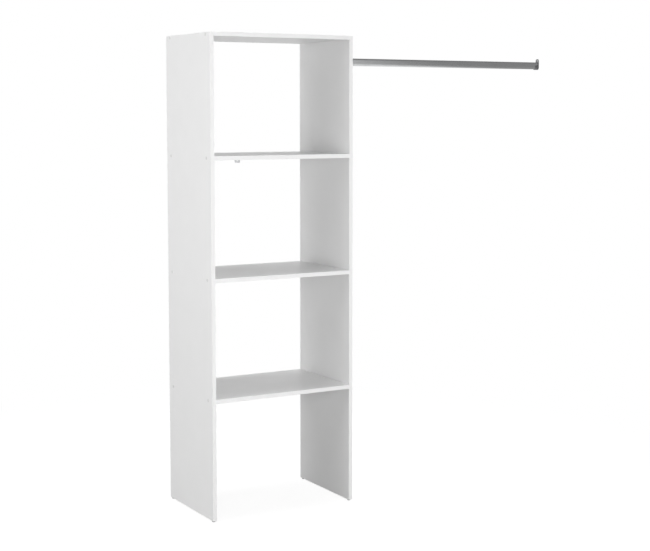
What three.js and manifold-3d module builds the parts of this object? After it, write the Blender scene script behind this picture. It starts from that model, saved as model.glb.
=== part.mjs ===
// Open wardrobe column of white melamine-faced board with an oval hanging rail.
// The rail runs from the column's right side to a bracket for a side wall.
// Millimetres, +Z up, front towards -Y, floor at Z = 0, origin at the centre
// of the whole footprint.

import * as THREE from 'three';
import { mergeVertices } from 'three/addons/utils/BufferGeometryUtils.js';
import Module from 'manifold-3d';

const wasm = await Module();
wasm.setup();

// Column, all boards
const columnHeight = 1800;
const columnWidth = 600;
const columnDepth = 390;
const boardThickness = 15;
const shelfPitch = 448;
const bandThickness = 0.8;
const bandArris = 0.4;

// Screws through the sides into the top and the shelves
const jointScrewLength = 50;
const jointScrewInset = 37;
const jointHeadDiameter = 10;
const jointHeadRim = 1.5;
const jointHeadRecess = 0.5;
const jointShankDiameter = 7;
const jointThreadDiameter = 6.4;
const jointTipDiameter = 4;
const jointTipLength = 4;
const jointSocketWidth = 4;
const jointSocketDepth = 3;

// Cover caps pressed into the screw sockets
const capOverlap = 1;
const capRim = 0.5;
const capRise = 1.5;
const capShoulder = 1.2;

// Hanging rail, an oval tube
const railSpan = 1045;
const railHeight = 30;
const railWidth = 15;
const railWall = 1;
const railDrop = 92;
const railEndGap = 0.5;

// Rail brackets, one at each end
const bracketPlate = 2.5;
const bracketWall = 2;
const bracketReach = 18;
const bracketEar = 14;
const bracketHoleMargin = 7;
const cradleLip = 1;
const cradleShoulder = 9;

// Small countersunk screws for the brackets and the angle
const smallScrewLength = 15;
const smallScrewDiameter = 3.5;
const smallHeadDiameter = 7;
const smallHeadRim = 0.4;
const smallTipDiameter = 0.8;
const smallTipLength = 3;
const crossRecessWidth = 0.9;
const crossRecessSpan = 4;
const crossRecessDepth = 1.4;

// Angle for the wall behind, under the rear edge of the upper shelf
const angleLeg = 26;
const angleWidth = 23;
const angleMetal = 2;
const angleBend = 3;
const angleCorner = 4;
const angleWallHole = 7;
const angleWallHoleDrop = 17;
const angleScrewInset = 15;

// Glides under the side panels, with a nail moulded into each
const glideDiameter = 12;
const glideHeight = 5;
const glideRound = 1.4;
const glideSole = 1.5;
const glideInset = 12;
const nailDiameter = 2.2;
const nailHeadDiameter = 6;
const nailHeadThickness = 1;
const nailBite = 12;
const nailTipDiameter = 0.6;
const nailTipLength = 3;

// Clearances and faceting
const fit = 0.3;
const overrun = 1;
const hiddenSides = 10;
const shownSides = 16;
const arcSteps = 5;

// Places that follow from the sizes above
const boardLength = columnWidth - 2 * boardThickness;
const boardDepth = columnDepth - bandThickness;
const shelfNames = ['upper', 'middle', 'lower'];
const levels = [
  { name: 'top', board: 'top_panel', z: columnHeight },
  ...shelfNames.map((name, i) => ({
    name,
    board: `shelf_${name}`,
    z: columnHeight - (i + 1) * shelfPitch,
  })),
];
const railCentre = new THREE.Vector3(columnWidth, columnDepth / 2, columnHeight - railDrop);
const sides = [
  { name: 'left', face: 0, inward: 1 },
  { name: 'right', face: columnWidth, inward: -1 },
];
const depths = [
  { name: 'front', screwY: jointScrewInset, glideY: glideInset },
  { name: 'rear', screwY: columnDepth - jointScrewInset, glideY: columnDepth - glideInset },
];

// Materials
const materials = {
  melamine: standard(0xf1f1ef, 0.45, 0),
  band: standard(0xf6f6f4, 0.35, 0),
  cap: standard(0xdedfde, 0.5, 0),
  zinc: standard(0xb9bcbf, 0.38, 1),
  chrome: standard(0xc9cbce, 0.16, 1),
  steel: standard(0x9c9fa3, 0.42, 1),
  glide: standard(0xbfc1c2, 0.55, 0),
};

function standard(color, roughness, metalness) {
  return new THREE.MeshStandardMaterial({ color, roughness, metalness });
}

// Axis maps: the local X, Y and Z of a drawn outline or a turned profile
const axisX = new THREE.Vector3(1, 0, 0);
const axisY = new THREE.Vector3(0, 1, 0);
const axisZ = new THREE.Vector3(0, 0, 1);
const drawnInYZ = new THREE.Matrix4().makeBasis(axisY, axisZ, axisX);
const drawnInXZ = new THREE.Matrix4().makeBasis(axisX, axisZ, axisY.clone().negate());
const drawnAcrossBoard = new THREE.Matrix4().makeBasis(axisZ.clone().negate(), axisY, axisX);
const turnedUp = new THREE.Matrix4().makeRotationX(Math.PI / 2);

function turnedAlongX(direction) {
  return new THREE.Matrix4().makeRotationZ(-direction * Math.PI / 2);
}

function moved(matrix, x, y, z) {
  return new THREE.Matrix4().makeTranslation(x, y, z).multiply(matrix);
}

// Solids for cutting and joining
function toSolid(geometry, placement = new THREE.Matrix4()) {
  const bare = new THREE.BufferGeometry();
  bare.setAttribute('position', geometry.getAttribute('position').clone());
  bare.setIndex(geometry.getIndex() ? geometry.getIndex().clone() : null);
  bare.applyMatrix4(placement);
  const merged = mergeVertices(bare);
  const corners = merged.getIndex().array;
  const kept = [];
  for (let i = 0; i < corners.length; i += 3) {
    const [a, b, c] = corners.slice(i, i + 3);
    if (a !== b && b !== c && c !== a) kept.push(a, b, c);
  }
  return new wasm.Manifold(new wasm.Mesh({
    numProp: 3,
    vertProperties: Float32Array.from(merged.getAttribute('position').array),
    triVerts: Uint32Array.from(kept),
  }));
}

function toGeometry(solid) {
  const mesh = solid.getMesh();
  const geometry = new THREE.BufferGeometry();
  geometry.setAttribute('position', new THREE.BufferAttribute(mesh.vertProperties, 3));
  geometry.setIndex(new THREE.BufferAttribute(mesh.triVerts, 1));
  geometry.computeVertexNormals();
  return geometry;
}

function cutBy(solid, cutters) {
  return cutters.reduce((rest, cutter) => rest.subtract(cutter), solid);
}

function box(x, y, z) {
  return new THREE.BoxGeometry(x, y, z);
}

// A profile of [radius, height] pairs, turned about its height axis
function turned(profile, steps) {
  return new THREE.LatheGeometry(profile.map(([r, h]) => new THREE.Vector2(r, h)), steps);
}

function extruded(shape, depth) {
  return new THREE.ExtrudeGeometry(shape, {
    depth,
    bevelEnabled: false,
    curveSegments: arcSteps,
  });
}

// An upright slot outline: two half circles joined by straight sides
function slotOutline(shape, radius, low, high) {
  shape.moveTo(radius, low);
  shape.lineTo(radius, high);
  shape.absarc(0, high, radius, 0, Math.PI, false);
  shape.lineTo(-radius, low);
  shape.absarc(0, low, radius, Math.PI, 2 * Math.PI, false);
  return shape;
}

// Scene assembly
const group = new THREE.Group();
const column = new THREE.Group();
const rail = new THREE.Group();
group.add(column, rail);

function place(parent, name, geometry, material, placement = new THREE.Matrix4()) {
  const mesh = new THREE.Mesh(geometry, material);
  mesh.name = name;
  mesh.applyMatrix4(placement);
  parent.add(mesh);
}

// Screws that join the boards
function jointScrewProfile(grow) {
  const head = jointHeadDiameter / 2 + grow;
  const shank = jointShankDiameter / 2 + grow;
  const thread = jointThreadDiameter / 2 + grow;
  const rim = jointHeadRim + grow;
  const shankEnd = boardThickness - jointHeadRecess;
  return [
    [0, 0],
    [head, 0],
    [head, rim],
    [shank, rim + head - shank],
    [shank, shankEnd],
    [thread, shankEnd + shank - thread],
    [thread, jointScrewLength - jointTipLength],
    [jointTipDiameter / 2 + grow, jointScrewLength + grow],
    [0, jointScrewLength + grow],
  ];
}

function jointScrew() {
  const corner = jointSocketWidth / Math.sqrt(3);
  const socket = new THREE.CylinderGeometry(corner, corner, jointSocketDepth + overrun, 6);
  socket.translate(0, (jointSocketDepth - overrun) / 2, 0);
  return toGeometry(toSolid(turned(jointScrewProfile(0), hiddenSides)).subtract(toSolid(socket)));
}

function jointScrewCutter(placement) {
  const shaft = toSolid(turned(jointScrewProfile(fit), hiddenSides), placement);
  const mouthRadius = jointHeadDiameter / 2 + fit;
  const mouth = new THREE.CylinderGeometry(
    mouthRadius, mouthRadius, jointHeadRecess + overrun + jointHeadRim, hiddenSides,
  );
  mouth.translate(0, (jointHeadRim - jointHeadRecess - overrun) / 2, 0);
  return shaft.add(toSolid(mouth, placement));
}

function screwCap() {
  const peg = jointSocketWidth / 2 - fit;
  const pegLength = jointHeadRecess + jointSocketDepth - fit;
  const radius = jointHeadDiameter / 2 + capOverlap;
  return turned([
    [0, -capRise],
    [radius - capShoulder, -capRim - (capRise - capRim) / 2],
    [radius, -capRim],
    [radius, 0],
    [peg, 0],
    [peg, pegLength],
    [0, pegLength],
  ], shownSides);
}

const joints = [];
for (const side of sides) {
  for (const level of levels) {
    for (const depth of depths) {
      const turn = turnedAlongX(side.inward);
      const height = level.z - boardThickness / 2;
      joints.push({
        name: `${side.name}_${level.name}_${depth.name}`,
        side: side.name,
        level: level.name,
        screw: moved(turn, side.face + side.inward * jointHeadRecess, depth.screwY, height),
        cap: moved(turn, side.face, depth.screwY, height),
      });
    }
  }
}

const jointScrewGeometry = jointScrew();
const screwCapGeometry = screwCap();
for (const joint of joints) {
  place(column, `joint_screw_${joint.name}`, jointScrewGeometry, materials.zinc, joint.screw);
  place(column, `screw_cap_${joint.name}`, screwCapGeometry, materials.cap, joint.cap);
}

// Small countersunk screws
function smallScrewProfile(grow, mouth) {
  const head = smallHeadDiameter / 2 + grow;
  const shank = smallScrewDiameter / 2 + grow;
  return [
    [0, -mouth],
    [head, -mouth],
    [head, smallHeadRim],
    [shank, smallHeadRim + head - shank],
    [shank, smallScrewLength - smallTipLength],
    [smallTipDiameter / 2 + grow, smallScrewLength + grow],
    [0, smallScrewLength + grow],
  ];
}

function smallScrew() {
  const body = toSolid(turned(smallScrewProfile(0, 0), hiddenSides));
  const slots = [[crossRecessSpan, crossRecessWidth], [crossRecessWidth, crossRecessSpan]];
  return toGeometry(cutBy(body, slots.map(([x, z]) => {
    const slot = box(x, crossRecessDepth + overrun, z);
    slot.translate(0, (crossRecessDepth - overrun) / 2, 0);
    return toSolid(slot);
  })));
}

function smallScrewCutter(placement) {
  return toSolid(turned(smallScrewProfile(fit, overrun), hiddenSides), placement);
}

// Rail brackets: a plate with an ear, and an open cradle that the tube drops into
const slotLow = -(railHeight - railWidth) / 2;
const cradleInner = railWidth / 2 + fit;
const cradleOuter = cradleInner + bracketWall;
const earTop = railHeight / 2 + bracketEar;
const bracketScrewHeights = [earTop - bracketHoleMargin, slotLow];

function cradleOutline() {
  const shape = new THREE.Shape();
  shape.moveTo(cradleOuter, cradleShoulder);
  shape.lineTo(cradleInner, cradleShoulder);
  shape.lineTo(cradleInner, slotLow);
  shape.absarc(0, slotLow, cradleInner, 2 * Math.PI, Math.PI, true);
  shape.lineTo(-cradleInner, cradleShoulder);
  shape.lineTo(-cradleOuter, cradleShoulder);
  shape.lineTo(-cradleOuter, slotLow);
  shape.absarc(0, slotLow, cradleOuter, Math.PI, 2 * Math.PI, false);
  return shape;
}

// The cradle's walls fall away from the plate in a curve
function cradleSweep() {
  const shape = new THREE.Shape();
  shape.moveTo(bracketPlate, cradleShoulder);
  shape.quadraticCurveTo(bracketPlate, cradleLip, bracketReach, cradleLip);
  shape.lineTo(bracketReach + overrun, cradleLip);
  shape.lineTo(bracketReach + overrun, cradleShoulder + overrun);
  shape.lineTo(bracketPlate, cradleShoulder + overrun);
  return extruded(shape, 2 * cradleOuter + 2 * overrun);
}

function railBracket() {
  const outline = slotOutline(new THREE.Shape(), cradleOuter, slotLow, earTop - cradleOuter);
  const plate = toSolid(extruded(outline, bracketPlate), drawnInYZ);
  const cradle = toSolid(extruded(cradleOutline(), bracketReach), drawnInYZ);
  const sweep = toSolid(cradleSweep(), moved(drawnInXZ, 0, cradleOuter + overrun, 0));
  const holes = bracketScrewHeights.map((z) => smallScrewCutter(
    moved(turnedAlongX(-1), bracketPlate, 0, z),
  ));
  return toGeometry(cutBy(plate.add(cradle), [sweep, ...holes]));
}

const bracketGeometry = railBracket();
const smallScrewGeometry = smallScrew();
rail.position.copy(railCentre);
place(rail, 'rail_bracket_column', bracketGeometry, materials.chrome);
place(rail, 'rail_bracket_wall', bracketGeometry, materials.chrome,
  moved(new THREE.Matrix4().makeRotationZ(Math.PI), railSpan, 0, 0));

const bracketScrews = ['ear', 'cradle'].map((name, i) => ({
  name,
  placement: moved(turnedAlongX(-1), bracketPlate, 0, bracketScrewHeights[i]),
}));
for (const { name, placement } of bracketScrews) {
  place(rail, `bracket_screw_${name}`, smallScrewGeometry, materials.zinc, placement);
}

function railTube() {
  const radius = railWidth / 2;
  const outline = slotOutline(new THREE.Shape(), radius, slotLow, -slotLow);
  outline.holes.push(slotOutline(new THREE.Path(), radius - railWall, slotLow, -slotLow));
  return extruded(outline, railSpan - 2 * (bracketPlate + railEndGap));
}

place(rail, 'hanging_rail', railTube(), materials.chrome,
  moved(drawnInYZ, bracketPlate + railEndGap, 0, 0));

// Angle for the wall behind
const angleBoard = levels[1];
const angleTop = angleBoard.z - boardThickness;
const angleScrewPlacement = moved(
  turnedUp, columnWidth / 2, columnDepth - angleScrewInset, angleTop - angleMetal,
);

function angleProfile() {
  const inner = angleBend - angleMetal;
  const shape = new THREE.Shape();
  shape.moveTo(0, -angleLeg);
  shape.lineTo(0, -angleBend);
  shape.absarc(-angleBend, -angleBend, angleBend, 0, Math.PI / 2, false);
  shape.lineTo(-angleLeg, 0);
  shape.lineTo(-angleLeg, -angleMetal);
  shape.lineTo(-angleBend, -angleMetal);
  shape.absarc(-angleBend, -angleBend, inner, Math.PI / 2, 0, true);
  shape.lineTo(-angleMetal, -angleLeg);
  return shape;
}

// One leg's outline, free end down, with both of its free corners rounded
function legOutline() {
  const half = angleWidth / 2;
  const shape = new THREE.Shape();
  shape.moveTo(half, overrun);
  shape.lineTo(-half, overrun);
  shape.lineTo(-half, angleCorner - angleLeg);
  shape.absarc(angleCorner - half, angleCorner - angleLeg, angleCorner, Math.PI, 1.5 * Math.PI, false);
  shape.lineTo(half - angleCorner, -angleLeg);
  shape.absarc(half - angleCorner, angleCorner - angleLeg, angleCorner, 1.5 * Math.PI, 2 * Math.PI, false);
  return shape;
}

function wallLegOutline() {
  const shape = legOutline();
  const hole = new THREE.Path();
  hole.absarc(0, -angleWallHoleDrop, angleWallHole / 2, 0, 2 * Math.PI, true);
  shape.holes.push(hole);
  return shape;
}

function wallAngle() {
  const through = angleLeg + 2 * overrun;
  const folded = extruded(angleProfile(), angleWidth);
  folded.translate(0, 0, -angleWidth / 2);
  const front = extruded(wallLegOutline(), through);
  const plan = extruded(legOutline(), through);
  const inPlace = (matrix, y, z) => moved(matrix, columnWidth / 2, columnDepth + y, angleTop + z);
  return toGeometry(
    toSolid(folded, inPlace(drawnInYZ, 0, 0))
      .intersect(toSolid(front, inPlace(drawnInXZ, overrun, 0)))
      .intersect(toSolid(plan, inPlace(new THREE.Matrix4(), 0, -through + overrun)))
      .subtract(smallScrewCutter(angleScrewPlacement)),
  );
}

place(column, 'wall_angle', wallAngle(), materials.zinc);
place(column, 'wall_angle_screw', smallScrewGeometry, materials.zinc, angleScrewPlacement);

// Glides and their nails
const nailHeadTop = glideSole + 2 * fit + nailHeadThickness;

function glideBody() {
  const radius = glideDiameter / 2;
  const edge = Array.from({ length: arcSteps - 1 }, (_, i) => {
    const angle = (i + 1) / arcSteps * Math.PI / 2;
    return [
      radius - glideRound * (1 - Math.sin(angle)),
      glideRound * (1 - Math.cos(angle)),
    ];
  });
  return turned([
    [0, 0],
    [radius - glideRound, 0],
    ...edge,
    [radius, glideRound],
    [radius, glideHeight],
    [nailDiameter / 2 + fit, glideHeight],
    [nailDiameter / 2 + fit, nailHeadTop],
    [nailHeadDiameter / 2 + fit, nailHeadTop],
    [nailHeadDiameter / 2 + fit, glideSole],
    [0, glideSole],
  ], shownSides);
}

function nailProfile(grow) {
  const base = glideSole + fit;
  const top = glideHeight + nailBite;
  return [
    [0, base],
    [nailHeadDiameter / 2 + grow, base],
    [nailHeadDiameter / 2 + grow, base + nailHeadThickness],
    [nailDiameter / 2 + grow, base + nailHeadThickness],
    [nailDiameter / 2 + grow, top - nailTipLength],
    [nailTipDiameter / 2 + grow, top + grow],
    [0, top + grow],
  ];
}

const glides = [];
for (const side of sides) {
  for (const depth of depths) {
    const x = side.face + side.inward * boardThickness / 2;
    glides.push({
      name: `${depth.name}_${side.name}`,
      side: side.name,
      placement: moved(turnedUp, x, depth.glideY, -glideHeight),
    });
  }
}

const glideGeometry = glideBody();
const nailGeometry = turned(nailProfile(0), hiddenSides);
for (const glide of glides) {
  place(column, `glide_${glide.name}`, glideGeometry, materials.glide, glide.placement);
  place(column, `glide_nail_${glide.name}`, nailGeometry, materials.steel, glide.placement);
}

// Boards, drilled for what they hold
function board(width, height, x, z, cutters) {
  const blank = box(width, boardDepth, height);
  blank.translate(x + width / 2, bandThickness + boardDepth / 2, z + height / 2);
  return toGeometry(cutBy(toSolid(blank), cutters));
}

// A front edge band with small round arrises, centred on its board's thickness
function bandOutline() {
  const half = boardThickness / 2;
  const shape = new THREE.Shape();
  shape.moveTo(half, bandThickness);
  shape.lineTo(-half, bandThickness);
  shape.lineTo(-half, bandArris);
  shape.absarc(bandArris - half, bandArris, bandArris, Math.PI, 1.5 * Math.PI, false);
  shape.lineTo(half - bandArris, 0);
  shape.absarc(half - bandArris, bandArris, bandArris, 1.5 * Math.PI, 2 * Math.PI, false);
  return shape;
}

for (const side of sides) {
  const cutters = [
    ...joints.filter((joint) => joint.side === side.name).map((joint) => jointScrewCutter(joint.screw)),
    ...glides.filter((glide) => glide.side === side.name).map((glide) => toSolid(
      turned(nailProfile(fit), hiddenSides), glide.placement,
    )),
  ];
  if (side.name === 'right') {
    for (const { placement } of bracketScrews) {
      cutters.push(smallScrewCutter(moved(placement, railCentre.x, railCentre.y, railCentre.z)));
    }
  }
  const x = Math.min(side.face, side.face + side.inward * boardThickness);
  const name = `side_panel_${side.name}`;
  place(column, name, board(boardThickness, columnHeight, x, 0, cutters), materials.melamine);
  place(column, `${name}_edge_band`, extruded(bandOutline(), columnHeight), materials.band,
    moved(new THREE.Matrix4(), x + boardThickness / 2, 0, 0));
}

for (const level of levels) {
  const cutters = joints.filter((joint) => joint.level === level.name)
    .map((joint) => jointScrewCutter(joint.screw));
  if (level === angleBoard) cutters.push(smallScrewCutter(angleScrewPlacement));
  const z = level.z - boardThickness;
  place(column, level.board, board(boardLength, boardThickness, boardThickness, z, cutters),
    materials.melamine);
  place(column, `${level.board}_edge_band`, extruded(bandOutline(), boardLength), materials.band,
    moved(drawnAcrossBoard, boardThickness, 0, z + boardThickness / 2));
}

// Stand the part on the floor with its footprint centred
const footprintCentre = (columnWidth + railSpan - capRise) / 2;
group.position.set(-footprintCentre, -columnDepth / 2, glideHeight);

export default group;
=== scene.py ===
# Open wardrobe column of white board with an oval hanging rail: its finishes, its fine
# meshes and a plain studio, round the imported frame. Metres, +Z up, front towards -Y.

import math

import bmesh
import bpy
from bpy.props import FloatProperty, FloatVectorProperty, IntProperty, PointerProperty
from bpy.types import Operator, Panel, PropertyGroup
from mathutils import Matrix, Vector


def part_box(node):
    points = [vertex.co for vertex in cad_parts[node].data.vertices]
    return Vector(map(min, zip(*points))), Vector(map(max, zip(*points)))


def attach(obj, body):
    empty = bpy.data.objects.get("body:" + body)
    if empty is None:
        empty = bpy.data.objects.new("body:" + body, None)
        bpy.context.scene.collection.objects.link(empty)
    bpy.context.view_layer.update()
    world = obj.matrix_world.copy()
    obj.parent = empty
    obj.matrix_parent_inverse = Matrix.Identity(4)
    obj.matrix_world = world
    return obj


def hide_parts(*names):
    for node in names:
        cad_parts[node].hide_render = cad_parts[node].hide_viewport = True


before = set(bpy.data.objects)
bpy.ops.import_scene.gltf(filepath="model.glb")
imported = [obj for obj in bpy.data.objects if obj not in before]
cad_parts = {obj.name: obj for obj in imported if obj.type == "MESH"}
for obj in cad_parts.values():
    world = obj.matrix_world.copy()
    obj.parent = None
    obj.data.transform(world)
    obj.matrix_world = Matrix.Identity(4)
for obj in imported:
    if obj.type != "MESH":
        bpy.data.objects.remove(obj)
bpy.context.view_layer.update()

bl_info = {
    "name": "Open Wardrobe Column",
    "version": (1, 0, 0),
    "blender": (4, 5, 0),
    "location": "View3D > Sidebar > Wardrobe",
    "description": "Finishes, fine meshes and a studio for an open wardrobe column with a "
                   "hanging rail",
    "category": "Object",
}

MM = 0.001
WHITE = (1.0, 1.0, 1.0)

# Noise lies mostly between these values, and is spread from there
NOISE_RANGE = {"From Min": 0.3, "From Max": 0.7}

# What counts as no length, as one point, as an edge to round and as a sharp edge
NO_LENGTH = 0.0002 * MM
ONE_POINT = 0.002 * MM
ROUNDED_FROM = math.radians(32)
SHARP_FROM = math.radians(34)

# Small screws: eased rim of the head, round under its cone, radius of the blunt tip, and
# where the point begins, as a part of the length
SCREW_RIM_ROUND = 0.12 * MM
SCREW_NECK_ROUND = 0.4 * MM
SCREW_TIP = 0.4 * MM
SCREW_POINT_FROM = 0.8
# Cross recess: its slots' length and width at the floor, as parts of those at the mouth
RECESS_FLOOR_SPAN = 0.4
RECESS_FLOOR_WIDTH = 0.64
GLIDE_TOP_ROUND = 0.3 * MM


def linear(code):
    """The linear colour of an sRGB hex value."""
    channels = [int(code[i:i + 2], 16) / 255 for i in (1, 3, 5)]
    return [c / 12.92 if c <= 0.04045 else ((c + 0.055) / 1.055) ** 2.4 for c in channels]


# The frame's nodes, by what they are
SIDES = ["side_panel_left", "side_panel_right"]
LEVEL_BOARDS = ["top_panel", "shelf_upper", "shelf_middle", "shelf_lower"]
UPRIGHT_BANDS = [f"{board}_edge_band" for board in SIDES]
LEVEL_BANDS = [f"{board}_edge_band" for board in LEVEL_BOARDS]
JOINT_SCREWS = sorted(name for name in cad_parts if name.startswith("joint_screw_"))
CAPS = sorted(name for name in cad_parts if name.startswith("screw_cap_"))
NAILS = sorted(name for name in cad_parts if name.startswith("glide_nail_"))
GLIDES = sorted(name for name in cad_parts
                if name.startswith("glide_") and name not in NAILS)


# Settings
def colour_property(name, description, code):
    """A colour setting, from an sRGB hex value."""
    return FloatVectorProperty(name=name, description=description, subtype="COLOR", size=3,
                               min=0, max=1, default=linear(code))


def length_property(name, description, millimetres):
    """A length setting, from millimetres."""
    return FloatProperty(name=name, description=description, subtype="DISTANCE",
                         unit="LENGTH", precision=5, default=millimetres * MM)


def power_property(name, watts):
    """The power setting of a lamp."""
    return FloatProperty(name=name, description=f"Power of the {name.lower()}",
                         unit="POWER", default=watts)


class WardrobeColours(PropertyGroup):
    board: colour_property("Board", "White melamine face of the boards", "#f2f2f2")
    board_edge: colour_property("Board edge", "Foil on the boards' rear and end edges",
                                "#ececeb")
    band: colour_property("Edge band", "White strip on the front edges", "#f5f5f5")
    glue_line: colour_property("Glue line", "Hairline where a band meets its board", "#c9c8c5")
    cap: colour_property("Screw cap", "Pale grey cover caps", "#e2e2e1")
    chrome: colour_property("Chrome", "Plate on the rail", "#c5c6c7")
    # Darker than chrome is: partly the duller thin plate of a casting, partly painted shade for
    # the dark reflection on the brackets
    casting: colour_property("Casting", "Thin chrome on the brackets", "#8d8e90")
    zinc: colour_property("Zinc plate", "Screws and wall angle", "#e6e7e9")
    steel: colour_property("Steel wire", "Nails in the glides", "#8d8f92")
    glide: colour_property("Glide", "Grey plastic under the side panels", "#9c9c9c")


class WardrobeSizes(PropertyGroup):
    tube_wall: length_property("Tube wall", "Wall of the oval rail", 1)
    bracket_plate: length_property("Bracket plate", "Plate that is screwed to the side", 2.5)
    bracket_wall: length_property("Bracket wall", "Wall of the cradle round the tube", 2)
    bracket_fit: length_property("Bracket fit", "Room between the tube and the cradle", 0.3)
    cradle_lip: length_property("Cradle lip", "Cradle's free end above the tube's centre", 1)
    cradle_shoulder: length_property("Cradle shoulder", "Height of the cradle at its plate", 9)
    hole_margin: length_property("Hole margin", "Screw hole below the top of the ear", 7)
    casting_round: length_property("Casting round", "Rounded edges of a casting", 0.5)
    screw_head_rim: length_property("Screw head rim", "Straight rim of a countersunk head", 0.4)
    screw_shank: length_property("Screw shank", "Diameter of the small screws", 3.5)
    screw_fit: length_property("Screw fit", "Room round a screw in its hole", 0.3)
    recess_span: length_property("Recess span", "Length of each slot of the cross recess", 4)
    recess_width: length_property("Recess width", "Width of each slot of the recess", 0.9)
    recess_depth: length_property("Recess depth", "Depth of the cross recess", 1.4)
    cap_rim: length_property("Cap rim", "Straight rim of a cover cap", 0.5)
    cap_rise: length_property("Cap rise", "How far a cover cap stands out", 1.5)
    cap_peg: length_property("Cap peg", "Radius of the peg in the screw's socket", 1.7)
    glide_round: length_property("Glide round", "Rounded lower edge of a glide", 1.4)
    glide_sole: length_property("Glide sole", "Plastic under the nail head", 1.5)
    nail_wire: length_property("Nail wire", "Diameter of the wire nail in a glide", 2.2)
    nail_head: length_property("Nail head", "Thickness of the nail's flat head", 1)
    nail_fit: length_property("Nail fit", "Room round the nail in its glide", 0.3)
    angle_metal: length_property("Angle metal", "Sheet of the wall angle", 2)
    angle_bend: length_property("Angle bend", "Outer radius of the fold", 3)
    angle_corner: length_property("Angle corner", "Rounded corners of the legs", 4)
    angle_hole: length_property("Angle hole", "Open hole for the wall screw", 7)
    angle_hole_drop: length_property("Angle hole drop", "Hole below the shelf", 17)
    angle_edge: length_property("Angle edge", "Worn edge of the stamped sheet", 0.25)
    arc_steps: IntProperty(name="Arc steps", description="Faces on each rounded corner",
                           default=8, min=2)
    turn_steps: IntProperty(name="Turn steps", description="Faces round a turned piece",
                            default=64, min=12)


class WardrobeStudio(PropertyGroup):
    lens: FloatProperty(name="Lens", description="Focal length on a 36 mm sensor",
                        unit="CAMERA", default=77.325)
    camera: FloatVectorProperty(name="Camera", description="Place of the camera",
                                subtype="TRANSLATION", unit="LENGTH",
                                default=(-2.992, -4.7802, 1.5242))
    turn: FloatProperty(name="Turn", description="How far right of straight back it looks",
                        subtype="ANGLE", unit="ROTATION", default=math.radians(30.0047))
    pitch: FloatProperty(name="Pitch", description="How far the camera looks down",
                         subtype="ANGLE", unit="ROTATION", default=math.radians(5.308))
    shift: FloatProperty(name="Shift", description="Upright shift of the lens",
                         default=-0.055)
    front_power: power_property("Front lamp", 88)
    corner_power: power_property("Front left lamp", 56)
    left_power: power_property("Left lamp", 41)
    high_left_power: power_property("High left lamp", 34)
    right_power: power_property("Right lamp", 105)
    right_back_power: power_property("Right back lamp", 30)
    rear_power: power_property("Rear lamp", 50)
    top_power: power_property("Top lamp", 40)
    paper: colour_property("Paper", "Tone of the light that the floor throws back", "#8e8e8d")
    ambient: FloatProperty(name="Ambient", description="Strength of the surround's own light",
                           default=0.12)


# Soft square lamps, all facing the column's middle: name, place and width
LAMPS = [
    ("front", (-0.4, -4.0, 1.1), 2.5),
    ("corner", (-3.4, -3.4, 0.9), 2.0),
    ("left", (-4.2, 0.3, 1.6), 2.0),
    ("high_left", (-4.0, -0.4, 3.1), 2.5),
    ("right", (4.4, 0.2, 0.9), 2.0),
    ("right_back", (2.6, 3.4, 2.0), 2.0),
    ("rear", (-0.4, 4.2, 1.2), 2.5),
    ("top", (-0.5, 0, 4.2), 1.6),
]
LAMP_TARGET = (-0.4, 0, 1.0)

# Cards that the rail mirrors: profile in Y and Z, span in X, brightness at both ends, and
# where it grades from one to the other
CARDS = [
    ("card_wall", [(-2.2, 1.63), (-2.2, 3.6)], (0.45, 5.0), (1.0, 0.36), (0.65, 1.8)),
    ("card_sweep", [(-2.2, 1.63), (-2.2, 0.01), (1.5, 0.01)], (0.45, 5.0), (1.15, 0.42),
     (1.3, 2.1)),
    ("card_overhead", [(-2.2, 3.6), (1.8, 3.6)], (-0.6, 5.0), (0.45, 0.3), (0.0, 1.0)),
]

# The floor's half width, and between which distances from the column it fades to white
FLOOR_REACH = 12
FADE_START, FADE_END = 1.0, 2.2
# The floor near the column, as it is seen: a little real shading on top of an even glow
FLOOR_SHADING = 0.22
FLOOR_GLOW = 0.87


# Node trees
def add_node(tree, kind, inputs=None, **settings):
    """Adds a node with its settings. An input is a value, or the node or socket it comes from."""
    node = tree.nodes.new(kind)
    for name, value in settings.items():
        setattr(node, name, value)
    for key, value in (inputs or {}).items():
        socket = next(s for s in node.inputs if s.enabled and key in (s.name, s.identifier))
        if isinstance(value, bpy.types.Node):
            value = next(s for s in value.outputs if s.enabled)
        if isinstance(value, bpy.types.NodeSocket):
            tree.links.new(value, socket)
        elif socket.type == "RGBA":
            socket.default_value = [*value, 1.0]
        else:
            socket.default_value = value
    return node


def new_material(name):
    """An empty node material, and its tree."""
    material = bpy.data.materials.new(name)
    material.use_nodes = True
    material.node_tree.nodes.clear()
    return material, material.node_tree


def share(colour, part):
    """The same colour with only part of its light."""
    return [channel * part for channel in colour]


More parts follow.
